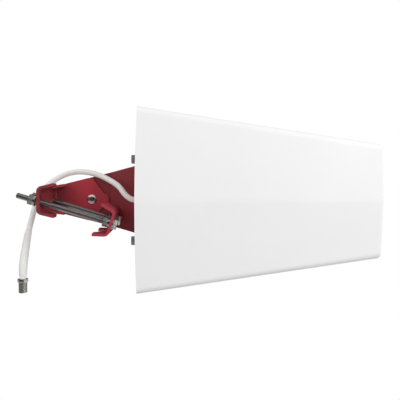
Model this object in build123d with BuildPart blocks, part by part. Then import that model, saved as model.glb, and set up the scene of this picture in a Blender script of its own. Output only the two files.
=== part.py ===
from build123d import *
import os
from math import atan, cos, degrees, pi, radians, sin, tan

os.makedirs("parts", exist_ok=True)

# A directional panel antenna on a tilting pole bracket. Lengths are in millimetres.
# The origin is on the pole's axis, half way up the jaws. +X is the way the antenna points,
# +Z runs up the pole, and the housing lies on the plane Y = 0.

# Housing: a flat wedge, tall at the back and low at the front, with a shallow ridge along each side
HOUSING_REAR = 70.6
HOUSING_FRONT = 375.0
REAR_HALF_HEIGHT = 109.5
FRONT_HALF_HEIGHT = 71.5
REAR_HALF_THICKNESS = 32.0
FRONT_HALF_THICKNESS = 26.0
REAR_RIDGE_RISE = 7.5
FRONT_RIDGE_RISE = 3.2
REAR_RIDGE_RADIUS = 80.0
FRONT_RIDGE_RADIUS = 20.0
EDGE_RADIUS = 8.5
FRONT_ROUND = 3.5
REAR_BOW = 2.4
FRONT_BOW = 0.4
HOUSING_WALL = 3.0
RIM_WALL = 1.8

# Rear cap, sunk into the rim, with its gasket against a ledge
CAP_RECESS = 3.0
CAP_THICKNESS = 4.0
CAP_CLEARANCE = 0.2
GASKET_THICKNESS = 1.0
GASKET_WIDTH = 2.6
BOSS_RADIUS = 7.5
BOSS_LENGTH = 14.4
GROMMET_RADIUS = 6.0
GROMMET_LIP_RADIUS = 8.0
GROMMET_LIP = 1.6

# Sheet metal bracket: jaw and side plate on the pole, arm and flange on the housing
SHEET = 3.0
BEND_RADIUS = 4.5
SIDE_BEND_RADIUS = 3.5
WEB_X = -32.9
JAW_HALF_WIDTH = 36.3
WEB_HALF_HEIGHT = 13.4
LEG_REACH = 16.1
LEG_FLARE = 14.5
NOTCH_DEPTH = 10.5
NOTCH_HALF_WIDTH = 19.0
NOTCH_APEX_HALF_WIDTH = 3.0
NOTCH_TEETH = 4
TOOTH_DEPTH = 1.3
SIDE_PLATE_Y = 39.0
TAPER_START_X = -17.1
TAPER_START_HALF_HEIGHT = 20.1
TAPER = 0.268
NOSE_SHOULDER_X = 13.4
NOSE_TIP_X = 35.0
NOSE_RADIUS = 7.0
PIVOT_X = 13.9
ARM_LEFT_X = -6.0
ARM_BEND_X = 38.4
ARM_BEND_ANGLE = 17.0
ARM_CORNER_RADIUS = 9.0
FLANGE_NEAR_Y = -17.0
FLANGE_MARGIN = 7.0
FLANGE_EAR_Y = 24.5
NOTCH_CLEARANCE = 1.6
FLANGE_CORNER_RADIUS = 6.0

# Clamp: a second jaw on two long bolts that hang from the holes in the fixed jaw
CLAMP_DROOP = 17.1
ROD_Z = -1.7
ROD_SPACING = 58.4
ROD_RADIUS = 3.175
JAW_WEB_DISTANCE = 81.4
CLAMP_BOLT_LENGTH = 108.9
ROD_SLOT_HALF_HEIGHT = 5.8
ROD_CLEARANCE = 0.4
THREAD_CLEARANCE = 0.05

# Fasteners: quarter-inch on the clamp and the pivot, 6 mm on the flange
NUT_FLATS = 11.1
NUT_HEIGHT = 5.1
HEAD_HEIGHT = 3.9
WASHER_RADIUS = 6.4
WASHER_THICKNESS = 1.2
LOCK_WASHER_RADIUS = 5.6
LOCK_WASHER_THICKNESS = 1.5
OUTER_STACK_GAP = 3.6
PIVOT_HEAD_RADIUS = 5.75
PIVOT_HEAD_HEIGHT = 2.2
PIVOT_SHANK_LENGTH = 15.5
RECESS_LENGTH = 6.4
RECESS_WIDTH = 1.5
RECESS_DEPTH = 1.4
FLANGE_BOLT_SPACING = 98.0
FLANGE_BOLT_RADIUS = 3.0
FLANGE_BOLT_LENGTH = 20.0
FLANGE_BOLT_FLATS = 10.0
FLANGE_HEAD_HEIGHT = 4.8
INSERT_RADIUS = 4.4
INSERT_LENGTH = 12.0
CHAMFER = 0.5
SMALL_CHAMFER = 0.3

# Array inside the housing: two booms with alternating rods, each shorter than the last
BOOM_WIDTH = 8.0
BOOM_OFFSET = 9.0
BOOM_REAR_X = 92.0
BOOM_FRONT_X = 352.0
ELEMENT_COUNT = 11
ELEMENT_RADIUS = 2.0
FIRST_ELEMENT_X = 112.0
LONGEST_ELEMENT = 99.0
ELEMENT_RATIO = 0.86
APEX_DISTANCE = 292.0
ELEMENT_SEAT = 3.0
FIT = 0.1
HOLDER_FRONT_X = 104.0
HOLDER_HALF_WIDTH = 17.0
HOLDER_HALF_HEIGHT = 11.0
HOLDER_EAR = 10.0
HOLDER_EAR_THICKNESS = 3.0
MID_SPACER_X = 227.0
FRONT_SPACER_X = 343.0
SPACER_THICKNESS = 8.0
FEED_BOARD_THICKNESS = 1.6
SHORTING_BAR_X = 107.0
SHORTING_BAR_WIDTH = 5.0
SHORTING_BAR_THICKNESS = 2.0
SMALL_SCREW_RADIUS = 1.5
SMALL_HEAD_RADIUS = 2.8
SMALL_HEAD_HEIGHT = 1.8
SMALL_SCREW_LENGTH = 6.0

# Cable and its socket
CABLE_RADIUS = 3.45
FEED_RADIUS = 2.0
CABLE_START_X = 76.0
SLEEVE_WALL = 0.85
SLEEVE_CLEARANCE = 0.05
SOCKET_FLATS = 11.0
COLLAR_HEIGHT = 3.6
BARREL_RADIUS = 4.75
BARREL_LENGTH = 13.0
SOCKET_BORE_RADIUS = 3.8
SOCKET_BORE_DEPTH = 14.0
INSULATOR_RECESS = 1.0
CONTACT_RADIUS = 1.0
CONTACT_BORE_RADIUS = 0.5

# Cable route, from the grommet over the arm's top edge, behind the fixed jaw and down
CABLE_ROUTE = [
    (CABLE_START_X, 0, 0),
    (68, 0, 0),
    (61.5, 0.5, 3),
    (56.7, 2, 8.6),
    (53.6, 5, 15.8),
    (49.4, 9.5, 22.9),
    (42.4, 16, 28.9),
    (32.4, 24, 32),
    (20.5, 34, 33.5),
    (8, 44, 35.5),
    (-7, 52, 36),
    (-24, 57, 33),
    (-39, 58, 25),
    (-50, 55, 13.5),
    (-56.5, 50, 0),
    (-59, 45, -14),
    (-60.3, 40, -28.5),
    (-61.5, 33.5, -41),
    (-62.2, 25, -52),
    (-62.4, 17, -62),
    (-62.2, 11, -72.5),
    (-62, 8, -83),
    (-62, 8, -94.5),
]
SLEEVE_START = 16.85

# Places that follow from the sizes above
CAP_FACE = HOUSING_REAR + CAP_RECESS
CAP_BACK = CAP_FACE + CAP_THICKNESS
LEDGE_X = CAP_BACK + GASKET_THICKNESS
BRACKET_BACK_Y = SIDE_PLATE_Y + SHEET
ARM_Y = BRACKET_BACK_Y + SHEET / 2
FLANGE_X = CAP_FACE - SHEET / 2
ARM_END_HALF_HEIGHT = TAPER_START_HALF_HEIGHT + TAPER * (FLANGE_X - TAPER_START_X)
FOLD_Y = ARM_Y - (FLANGE_X - ARM_BEND_X) * tan(radians(ARM_BEND_ANGLE))
ROD_SIDES = (-ROD_SPACING / 2, ROD_SPACING / 2)
FLANGE_HALF_HEIGHT = FLANGE_BOLT_SPACING / 2 + FLANGE_MARGIN
BOLT_HEIGHTS = (-FLANGE_BOLT_SPACING / 2, FLANGE_BOLT_SPACING / 2)
JAW_INNER_FACE = JAW_WEB_DISTANCE - SHEET / 2
JAW_OUTER_FACE = JAW_WEB_DISTANCE + SHEET / 2
INNER_LOCK_START = JAW_INNER_FACE - WASHER_THICKNESS - LOCK_WASHER_THICKNESS
BOLT_SEAT = JAW_OUTER_FACE + WASHER_THICKNESS
OUTER_LOCK_START = -OUTER_STACK_GAP - WASHER_THICKNESS
OUTER_NUT_START = OUTER_LOCK_START - LOCK_WASHER_THICKNESS
BOOM_SIDES = (-BOOM_OFFSET, BOOM_OFFSET)
EAR_CENTRE = HOLDER_HALF_HEIGHT + HOLDER_EAR / 2
SOCKET_TOP = CABLE_ROUTE[-1][2]

# Section of the housing, which every piece that fits it shares


def between(rear, front, x):
    """Value at x of a size that changes evenly from the housing's back to its front."""
    along = (x - HOUSING_REAR) / (HOUSING_FRONT - HOUSING_REAR)
    return rear + (front - rear) * along


def housing_section(x, inset=0.0):
    """Six-sided section of the housing at x, drawn smaller all round by inset."""
    top = between(REAR_HALF_HEIGHT, FRONT_HALF_HEIGHT, x) - inset
    ridge = between(REAR_HALF_THICKNESS, FRONT_HALF_THICKNESS, x) - inset
    side = ridge - between(REAR_RIDGE_RISE, FRONT_RIDGE_RISE, x)
    ridge_radius = between(REAR_RIDGE_RADIUS, FRONT_RIDGE_RADIUS, x)
    with BuildSketch(Plane.YZ.offset(x)) as section:
        with BuildLine():
            Polyline(
                (-ridge, 0), (-side, top), (side, top), (ridge, 0), (side, -top), (-side, -top), close=True
            )
        make_face()
        corners = section.vertices().group_by(Axis.Y)
        fillet(corners[0] + corners[-1], radius=EDGE_RADIUS - inset)
        ridges = section.vertices().filter_by(lambda corner: abs(corner.Y) < FIT)
        fillet(ridges, radius=ridge_radius)
    return section.sketch


def housing_loft(rear_x, front_x, inset=0.0, mode=Mode.ADD):
    """Loft of the housing's section from rear_x to front_x, inside a part block."""
    loft([housing_section(rear_x, inset), housing_section(front_x, inset)], mode=mode)


def bow_reach(bow, half_height, reach):
    """Set-back of a bowed end at reach, where it is bow at half_height."""
    return bow * (reach / half_height) ** 2


# Housing shell: one moulded shell, bowed at both ends, open at the back

OUTLINE_REACH = REAR_HALF_HEIGHT + 10

with BuildPart() as radome_shell:
    housing_loft(HOUSING_REAR - 4, HOUSING_FRONT + 4)
    rear_setback = bow_reach(REAR_BOW, REAR_HALF_HEIGHT, OUTLINE_REACH)
    front_setback = bow_reach(FRONT_BOW, FRONT_HALF_HEIGHT, OUTLINE_REACH)
    with BuildSketch(Plane.XZ):
        with BuildLine():
            rear_end = ThreePointArc(
                (HOUSING_REAR + rear_setback, -OUTLINE_REACH),
                (HOUSING_REAR, 0),
                (HOUSING_REAR + rear_setback, OUTLINE_REACH),
            )
            front_end = ThreePointArc(
                (HOUSING_FRONT - front_setback, OUTLINE_REACH),
                (HOUSING_FRONT, 0),
                (HOUSING_FRONT - front_setback, -OUTLINE_REACH),
            )
            Line(rear_end @ 1, front_end @ 0)
            Line(front_end @ 1, rear_end @ 0)
        make_face()
    extrude(amount=REAR_HALF_THICKNESS + 10, both=True, mode=Mode.INTERSECT)
    fillet(radome_shell.faces().sort_by(Axis.X)[-1].edges(), radius=FRONT_ROUND)
    housing_loft(HOUSING_REAR - 6, LEDGE_X, RIM_WALL, mode=Mode.SUBTRACT)
    housing_loft(LEDGE_X - 1, HOUSING_FRONT - HOUSING_WALL, HOUSING_WALL, mode=Mode.SUBTRACT)
    with BuildSketch(Plane.XZ.offset(-FLANGE_EAR_Y)):
        with Locations((CAP_FACE - 10, 0)):
            Rectangle(20, 2 * (ARM_END_HALF_HEIGHT + NOTCH_CLEARANCE))
    extrude(amount=-20, mode=Mode.SUBTRACT)

# Rear cap: plate with two bolt bosses and the cable hole

with BuildPart() as rear_cap:
    housing_loft(CAP_FACE, CAP_BACK, RIM_WALL + CAP_CLEARANCE)
    with BuildSketch(Plane.YZ.offset(CAP_BACK)):
        with Locations(*[(0, z) for z in BOLT_HEIGHTS]):
            Circle(BOSS_RADIUS)
    extrude(amount=BOSS_LENGTH)
    with BuildSketch(Plane.YZ.offset(CAP_FACE)):
        with Locations(*[(0, z) for z in BOLT_HEIGHTS]):
            Circle(FLANGE_BOLT_RADIUS + ROD_CLEARANCE / 2)
        Circle(GROMMET_RADIUS + CAP_CLEARANCE / 4)
    extrude(amount=CAP_THICKNESS + BOSS_LENGTH, mode=Mode.SUBTRACT)
    with BuildSketch(Plane.YZ.offset(CAP_BACK + BOSS_LENGTH - INSERT_LENGTH)):
        with Locations(*[(0, z) for z in BOLT_HEIGHTS]):
            Circle(INSERT_RADIUS + THREAD_CLEARANCE)
    extrude(amount=INSERT_LENGTH, mode=Mode.SUBTRACT)
    with BuildSketch(Plane.YZ.offset(CAP_BACK)):
        with Locations((0, -EAR_CENTRE), (0, EAR_CENTRE)):
            Circle(SMALL_SCREW_RADIUS + THREAD_CLEARANCE)
    extrude(amount=-(SMALL_SCREW_LENGTH - HOLDER_EAR_THICKNESS), mode=Mode.SUBTRACT)

with BuildPart() as cap_gasket:
    housing_loft(CAP_BACK, LEDGE_X, RIM_WALL + CAP_CLEARANCE)
    housing_loft(CAP_BACK, LEDGE_X, RIM_WALL + CAP_CLEARANCE + GASKET_WIDTH, mode=Mode.SUBTRACT)

with BuildPart() as cable_grommet:
    with BuildSketch(Plane.YZ.offset(CAP_FACE - GROMMET_LIP)):
        Circle(GROMMET_LIP_RADIUS)
    extrude(amount=GROMMET_LIP)
    with BuildSketch(Plane.YZ.offset(CAP_FACE)):
        Circle(GROMMET_RADIUS)
    extrude(amount=CAP_THICKNESS)
    with BuildSketch(Plane.YZ.offset(CAP_BACK)):
        Circle(GROMMET_LIP_RADIUS)
    extrude(amount=GROMMET_LIP)
    chamfer(cable_grommet.edges().group_by(Axis.X)[0], length=GROMMET_LIP / 3)
    with BuildSketch(Plane.YZ.offset(CAP_FACE - GROMMET_LIP)):
        Circle(CABLE_RADIUS + SLEEVE_CLEARANCE)
    extrude(amount=CAP_THICKNESS + 2 * GROMMET_LIP, mode=Mode.SUBTRACT)

# Array: booms, rods, holder, spacers, shorting bar and feed

element_places = []
for number in range(ELEMENT_COUNT):
    shrink = ELEMENT_RATIO ** number
    element_x = FIRST_ELEMENT_X + APEX_DISTANCE * (1 - shrink)
    element_places.append((element_x, LONGEST_ELEMENT * shrink))


def boom(side, first_up):
    """Square bar at side, with seats for its rods and holes for its two screws."""
    with BuildPart() as bar:
        with BuildSketch(Plane.YZ.offset(BOOM_REAR_X)):
            with Locations((side, 0)):
                Rectangle(BOOM_WIDTH, BOOM_WIDTH)
        extrude(amount=BOOM_FRONT_X - BOOM_REAR_X)
        for number, (element_x, _) in enumerate(element_places):
            up = (number % 2 == 0) == first_up
            with BuildSketch(Plane.XY.offset(BOOM_WIDTH / 2 if up else -BOOM_WIDTH / 2)):
                with Locations((element_x, side)):
                    Circle(ELEMENT_RADIUS + THREAD_CLEARANCE)
            extrude(amount=-ELEMENT_SEAT if up else ELEMENT_SEAT, mode=Mode.SUBTRACT)
        with BuildSketch(Plane.XY.offset(BOOM_WIDTH / 2)):
            with Locations((SHORTING_BAR_X, side)):
                Circle(SMALL_SCREW_RADIUS + THREAD_CLEARANCE)
        extrude(amount=-SMALL_SCREW_LENGTH, mode=Mode.SUBTRACT)
        with BuildSketch(Plane.YZ.offset(BOOM_FRONT_X)):
            with Locations((side, 0)):
                Circle(SMALL_SCREW_RADIUS + THREAD_CLEARANCE)
        extrude(amount=-SMALL_SCREW_LENGTH, mode=Mode.SUBTRACT)
    return bar.part


def element_rods(side, first_up):
    """Rods of one boom, turned up and down by turns, each seated in a hole of the boom."""
    with BuildPart() as rods:
        for number, (element_x, tip) in enumerate(element_places):
            up = (number % 2 == 0) == first_up
            start = BOOM_WIDTH / 2 - ELEMENT_SEAT
            with BuildSketch(Plane.XY.offset(start if up else -start)):
                with Locations((element_x, side)):
                    Circle(ELEMENT_RADIUS)
            extrude(amount=(tip - start) if up else -(tip - start))
    return rods.part


with BuildPart() as boom_near:
    add(boom(-BOOM_OFFSET, True))

with BuildPart() as boom_far:
    add(boom(BOOM_OFFSET, False))

with BuildPart() as elements_near:
    add(element_rods(-BOOM_OFFSET, True))

with BuildPart() as elements_far:
    add(element_rods(BOOM_OFFSET, False))


def boom_openings():
    """Square holes for the two booms and a round one for the feed, in the current sketch."""
    with Locations(*[(y, 0) for y in BOOM_SIDES]):
        Rectangle(BOOM_WIDTH + 2 * FIT, BOOM_WIDTH + 2 * FIT, mode=Mode.SUBTRACT)
    Circle(FEED_RADIUS + FIT, mode=Mode.SUBTRACT)


with BuildPart() as boom_holder:
    with BuildSketch(Plane.YZ.offset(CAP_BACK)):
        Rectangle(2 * HOLDER_HALF_WIDTH, 2 * HOLDER_HALF_HEIGHT)
    extrude(amount=BOOM_REAR_X - CAP_BACK)
    with BuildSketch(Plane.YZ.offset(BOOM_REAR_X)):
        Rectangle(2 * HOLDER_HALF_WIDTH, 2 * HOLDER_HALF_HEIGHT)
        boom_openings()
    extrude(amount=HOLDER_FRONT_X - BOOM_REAR_X)
    with BuildSketch(Plane.YZ.offset(CAP_BACK)):
        Rectangle(2 * HOLDER_EAR, 2 * (HOLDER_HALF_HEIGHT + HOLDER_EAR))
    extrude(amount=HOLDER_EAR_THICKNESS)
    with BuildSketch(Plane.YZ.offset(CAP_BACK)):
        Circle(FEED_RADIUS + FIT)
        with Locations(*[(0, z) for z in (-EAR_CENTRE, EAR_CENTRE)]):
            Circle(SMALL_SCREW_RADIUS + THREAD_CLEARANCE)
    extrude(amount=HOLDER_FRONT_X - CAP_BACK, mode=Mode.SUBTRACT)
    with BuildSketch(Plane.YZ.offset(CAP_BACK)):
        Circle(GROMMET_LIP_RADIUS + FIT)
    extrude(amount=GROMMET_LIP + FIT, mode=Mode.SUBTRACT)

with BuildPart() as mid_spacer:
    with BuildSketch(Plane.YZ.offset(MID_SPACER_X)):
        RectangleRounded(2 * HOLDER_HALF_WIDTH, 2 * HOLDER_HALF_HEIGHT, HOLDER_HALF_HEIGHT / 4)
        boom_openings()
    extrude(amount=SPACER_THICKNESS)

with BuildPart() as front_spacer:
    housing_loft(FRONT_SPACER_X, FRONT_SPACER_X + SPACER_THICKNESS, HOUSING_WALL + CAP_CLEARANCE)
    window_half_height = between(REAR_HALF_HEIGHT, FRONT_HALF_HEIGHT, FRONT_SPACER_X) / 2
    with BuildSketch(Plane.YZ.offset(FRONT_SPACER_X)):
        with Locations((0, window_half_height), (0, -window_half_height)):
            RectangleRounded(2 * HOLDER_HALF_WIDTH, window_half_height * 0.9, HOLDER_HALF_HEIGHT / 2)
        with Locations(*[(y, 0) for y in BOOM_SIDES]):
            Rectangle(BOOM_WIDTH + 2 * FIT, BOOM_WIDTH + 2 * FIT)
        Circle(FEED_RADIUS + FIT)
    extrude(amount=SPACER_THICKNESS, mode=Mode.SUBTRACT)

with BuildPart() as shorting_bar:
    with BuildSketch(Plane.XY.offset(BOOM_WIDTH / 2)):
        with Locations((SHORTING_BAR_X, 0)):
            Rectangle(SHORTING_BAR_WIDTH, 2 * BOOM_OFFSET + BOOM_WIDTH)
        with Locations(*[(SHORTING_BAR_X, y) for y in BOOM_SIDES]):
            Circle(SMALL_SCREW_RADIUS + THREAD_CLEARANCE, mode=Mode.SUBTRACT)
    extrude(amount=SHORTING_BAR_THICKNESS)

with BuildPart() as feed_board:
    with BuildSketch(Plane.YZ.offset(BOOM_FRONT_X)):
        Rectangle(2 * BOOM_OFFSET + BOOM_WIDTH, BOOM_WIDTH)
        with Locations(*[(y, 0) for y in BOOM_SIDES]):
            Circle(SMALL_SCREW_RADIUS + THREAD_CLEARANCE, mode=Mode.SUBTRACT)
        Circle(FEED_RADIUS / 2 + FIT, mode=Mode.SUBTRACT)
    extrude(amount=FEED_BOARD_THICKNESS)

with BuildPart() as feed_coax:
    with BuildSketch(Plane.YZ.offset(CABLE_START_X)):
        Circle(FEED_RADIUS)
    extrude(amount=BOOM_FRONT_X - CABLE_START_X)
    with BuildSketch(Plane.YZ.offset(BOOM_FRONT_X)):
        Circle(FEED_RADIUS / 2)
    extrude(amount=2 * FEED_BOARD_THICKNESS)


def small_screw():
    """Pan-head screw on the XY plane: head above, shank below."""
    with BuildPart() as screw:
        with BuildSketch():
            Circle(SMALL_HEAD_RADIUS)
        extrude(amount=SMALL_HEAD_HEIGHT)
        fillet(screw.edges().group_by(Axis.Z)[-1], radius=SMALL_HEAD_HEIGHT / 3)
        with BuildSketch():
            Circle(SMALL_SCREW_RADIUS)
        extrude(amount=-SMALL_SCREW_LENGTH)
    return screw.part


def looking(origin, direction):
    """Place whose Z axis points along direction."""
    return Plane(origin=origin, z_dir=direction).location


with BuildPart() as holder_screws:
    ear_face = CAP_BACK + HOLDER_EAR_THICKNESS
    with Locations(*[looking((ear_face, 0, z), (1, 0, 0)) for z in (-EAR_CENTRE, EAR_CENTRE)]):
        add(small_screw())

with BuildPart() as shorting_screws:
    bar_top = BOOM_WIDTH / 2 + SHORTING_BAR_THICKNESS
    with Locations(*[looking((SHORTING_BAR_X, y, bar_top), (0, 0, 1)) for y in BOOM_SIDES]):
        add(small_screw())

with BuildPart() as feed_screws:
    board_face = BOOM_FRONT_X + FEED_BOARD_THICKNESS
    with Locations(*[looking((board_face, y, 0), (1, 0, 0)) for y in BOOM_SIDES]):
        add(small_screw())

# Sheet metal: outlines that the pole bracket and the arm share


def taper_at(x):
    """Half height of the tapered side plates at x."""
    return TAPER_START_HALF_HEIGHT + TAPER * (x - TAPER_START_X)


def jaw_section(web_x, facing):
    """Section of a jaw's flared channel; facing is the side that its legs point to."""
    tip_x = web_x + facing * LEG_REACH
    tip_height = WEB_HALF_HEIGHT + LEG_REACH * tan(radians(LEG_FLARE))
    with BuildSketch() as section:
        with BuildLine():
            FilletPolyline(
                (tip_x, tip_height),
                (web_x, WEB_HALF_HEIGHT),
                (web_x, -WEB_HALF_HEIGHT),
                (tip_x, -tip_height),
                radius=BEND_RADIUS,
            )
        trace(line_width=SHEET)
    return section.sketch


def notch_outline(tip_x, facing):
    """Toothed V that grips the pole, open past the leg tips."""
    slope = (NOTCH_HALF_WIDTH - NOTCH_APEX_HALF_WIDTH) / NOTCH_DEPTH
    apex_x = tip_x - facing * NOTCH_DEPTH
    tooth = NOTCH_DEPTH / NOTCH_TEETH
    flank = [(apex_x, NOTCH_APEX_HALF_WIDTH)]
    for number in range(NOTCH_TEETH):
        near = number * tooth
        flank.append((apex_x + facing * near, NOTCH_APEX_HALF_WIDTH + slope * near + TOOTH_DEPTH))
        flank.append((apex_x + facing * (near + tooth), NOTCH_APEX_HALF_WIDTH + slope * (near + tooth)))
    mouth = (tip_x + facing * NOTCH_DEPTH, NOTCH_HALF_WIDTH)
    upper = flank + [mouth]
    lower = [(x, -y) for x, y in reversed(upper)]
    with BuildSketch() as notch:
        with BuildLine():
            Polyline(*upper, *lower, close=True)
        make_face()
    return notch.sketch


# Pole bracket: web, toothed legs and tapered side plate folded from one sheet

with BuildPart() as pole_bracket:
    with BuildSketch(Plane.XY):
        with BuildLine():
            FilletPolyline(
                (WEB_X, JAW_HALF_WIDTH),
                (WEB_X, SIDE_PLATE_Y + SHEET / 2),
                (NOSE_TIP_X + SHEET, SIDE_PLATE_Y + SHEET / 2),
                radius=SIDE_BEND_RADIUS,
            )
        trace(line_width=SHEET)
    extrude(amount=taper_at(NOSE_SHOULDER_X), both=True)
    with BuildSketch(Plane.XZ) as side_outline:
        with BuildLine():
            nose_top = (NOSE_TIP_X - NOSE_RADIUS * 0.8, NOSE_RADIUS)
            nose_bottom = (NOSE_TIP_X - NOSE_RADIUS * 0.8, -NOSE_RADIUS)
            ThreePointArc(nose_top, (NOSE_TIP_X, 0), nose_bottom)
            Polyline(
                nose_bottom,
                (NOSE_SHOULDER_X, -taper_at(NOSE_SHOULDER_X)),
                (TAPER_START_X, -TAPER_START_HALF_HEIGHT),
                (WEB_X - SHEET, -WEB_HALF_HEIGHT),
                (WEB_X - SHEET, WEB_HALF_HEIGHT),
                (TAPER_START_X, TAPER_START_HALF_HEIGHT),
                (NOSE_SHOULDER_X, taper_at(NOSE_SHOULDER_X)),
                nose_top,
            )
        make_face()
        shoulders = side_outline.vertices().filter_by(lambda corner: abs(corner.X - NOSE_SHOULDER_X) < FIT)
        fillet(shoulders, radius=NOSE_RADIUS)
    extrude(amount=SIDE_PLATE_Y + 2 * SHEET, both=True, mode=Mode.INTERSECT)
    with BuildSketch(Plane.XZ):
        add(jaw_section(WEB_X, 1))
    extrude(amount=JAW_HALF_WIDTH, both=True)
    with BuildSketch(Plane.XY):
        add(notch_outline(WEB_X + LEG_REACH, 1))
    extrude(amount=2 * TAPER_START_HALF_HEIGHT, both=True, mode=Mode.SUBTRACT)
    with BuildSketch(Plane.YZ.offset(WEB_X)):
        with Locations(*[(y, 0) for y in ROD_SIDES]):
            SlotOverall(2 * ROD_SLOT_HALF_HEIGHT, 2 * (ROD_RADIUS + ROD_CLEARANCE), rotation=90)
    extrude(amount=SHEET, both=True, mode=Mode.SUBTRACT)
    with BuildSketch(Plane.XZ.offset(-SIDE_PLATE_Y)):
        with Locations((PIVOT_X, 0)):
            Circle(ROD_RADIUS + THREAD_CLEARANCE)
    extrude(amount=-SHEET, mode=Mode.SUBTRACT)

# Arm: flat behind the side plate, turned in past a bend, and folded into the housing's flange

with BuildPart() as antenna_bracket:
    with BuildSketch(Plane.XY):
        with BuildLine():
            FilletPolyline(
                (ARM_LEFT_X, ARM_Y),
                (ARM_BEND_X, ARM_Y),
                (FLANGE_X, FOLD_Y),
                (FLANGE_X, FLANGE_NEAR_Y),
                radius=BEND_RADIUS,
            )
        trace(line_width=SHEET)
    extrude(amount=FLANGE_HALF_HEIGHT, both=True)
    with BuildSketch(Plane.XZ) as arm_outline:
        step_x = FLANGE_X - 0.6 * SHEET
        with BuildLine():
            Polyline(
                (ARM_LEFT_X, taper_at(ARM_LEFT_X)),
                (step_x, taper_at(step_x)),
                (step_x, FLANGE_HALF_HEIGHT),
                (FLANGE_X + SHEET, FLANGE_HALF_HEIGHT),
                (FLANGE_X + SHEET, -FLANGE_HALF_HEIGHT),
                (step_x, -FLANGE_HALF_HEIGHT),
                (step_x, -taper_at(step_x)),
                (ARM_LEFT_X, -taper_at(ARM_LEFT_X)),
                close=True,
            )
        make_face()
        fillet(arm_outline.vertices().group_by(Axis.X)[0], radius=ARM_CORNER_RADIUS)
    extrude(amount=ARM_Y + SHEET, both=True, mode=Mode.INTERSECT)
    with BuildSketch(Plane.YZ) as flange_outline:
        with BuildLine():
            Polyline(
                (FLANGE_NEAR_Y, FLANGE_HALF_HEIGHT),
                (FLANGE_EAR_Y, FLANGE_HALF_HEIGHT),
                (FLANGE_EAR_Y, ARM_END_HALF_HEIGHT),
                (ARM_Y + SHEET, ARM_END_HALF_HEIGHT),
                (ARM_Y + SHEET, -ARM_END_HALF_HEIGHT),
                (FLANGE_EAR_Y, -ARM_END_HALF_HEIGHT),
                (FLANGE_EAR_Y, -FLANGE_HALF_HEIGHT),
                (FLANGE_NEAR_Y, -FLANGE_HALF_HEIGHT),
                close=True,
            )
        make_face()
        fillet(flange_outline.vertices().group_by(Axis.Y)[0], radius=FLANGE_CORNER_RADIUS)
    extrude(amount=HOUSING_FRONT, both=True, mode=Mode.INTERSECT)
    with BuildSketch(Plane.YZ.offset(FLANGE_X)):
        with Locations(*[(0, z) for z in BOLT_HEIGHTS]):
            Circle(FLANGE_BOLT_RADIUS + ROD_CLEARANCE / 2)
        Circle(GROMMET_LIP_RADIUS + ROD_CLEARANCE)
    extrude(amount=SHEET, both=True, mode=Mode.SUBTRACT)
    with BuildSketch(Plane.XZ.offset(-BRACKET_BACK_Y)):
        with Locations((PIVOT_X, 0)):
            Circle(ROD_RADIUS + THREAD_CLEARANCE)
    extrude(amount=-SHEET, mode=Mode.SUBTRACT)

# Clamp jaw, drawn in the plane of its hanging bolts: x runs along them, y across them

droop = radians(CLAMP_DROOP)
ROD_DIRECTION = (cos(droop), 0, -sin(droop))
ACROSS = (sin(droop), 0, cos(droop))
CLAMP_SIDE = Plane(origin=(WEB_X, 0, ROD_Z), x_dir=ROD_DIRECTION, z_dir=(0, -1, 0))
CLAMP_TOP = Plane(origin=(WEB_X, 0, ROD_Z), x_dir=ROD_DIRECTION, z_dir=ACROSS)


def along_rod(distance, side=0.0):
    """Point at a distance along the clamp's bolts, on the bolt at side."""
    return (WEB_X + distance * cos(droop), side, ROD_Z - distance * sin(droop))


with BuildPart() as clamp_jaw:
    with BuildSketch(CLAMP_SIDE):
        add(jaw_section(JAW_WEB_DISTANCE, -1))
    extrude(amount=JAW_HALF_WIDTH, both=True)
    with BuildSketch(CLAMP_TOP):
        add(notch_outline(JAW_WEB_DISTANCE - LEG_REACH, -1))
    extrude(amount=2 * TAPER_START_HALF_HEIGHT, both=True, mode=Mode.SUBTRACT)
    with BuildSketch(Plane(origin=along_rod(JAW_WEB_DISTANCE), x_dir=(0, 1, 0), z_dir=ROD_DIRECTION)):
        with Locations(*[(y, 0) for y in ROD_SIDES]):
            Circle(ROD_RADIUS + ROD_CLEARANCE / 2)
    extrude(amount=SHEET, both=True, mode=Mode.SUBTRACT)

# Fasteners, each drawn standing on the XY plane


def rounded_hexagon(flats, height, top_only=False):
    """Hexagon prism whose corners are turned off at both ends or only at the top."""
    corner_radius = flats / 2 / cos(pi / 6)
    bite = corner_radius - flats / 2
    base = [(corner_radius, 0)] if top_only else [(flats / 2, 0), (corner_radius, bite * tan(pi / 6))]
    with BuildPart() as prism:
        with BuildSketch():
            RegularPolygon(radius=flats / 2, side_count=6, major_radius=False)
        extrude(amount=height)
        with BuildSketch(Plane.XZ):
            with BuildLine():
                Polyline(
                    (0, 0),
                    *base,
                    (corner_radius, height - bite * tan(pi / 6)),
                    (flats / 2, height),
                    (0, height),
                    close=True,
                )
            make_face()
        revolve(axis=Axis.Z, mode=Mode.INTERSECT)
    return prism.part


def hexagon_nut():
    """Quarter-inch nut with a plain bore."""
    with BuildPart() as nut:
        add(rounded_hexagon(NUT_FLATS, NUT_HEIGHT))
        with BuildSketch():
            Circle(ROD_RADIUS + THREAD_CLEARANCE)
        extrude(amount=NUT_HEIGHT, mode=Mode.SUBTRACT)
    return nut.part


def hexagon_bolt(flats, head_height, radius, length):
    """Bolt with its head below the XY plane and its shank above it."""
    with BuildPart() as bolt:
        add(rounded_hexagon(flats, head_height, top_only=True).moved(Location((0, 0, 0), (180, 0, 0))))
        with BuildSketch():
            Circle(radius)
        extrude(amount=length)
        chamfer(bolt.edges().group_by(Axis.Z)[-1], length=CHAMFER)
    return bolt.part


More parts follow.
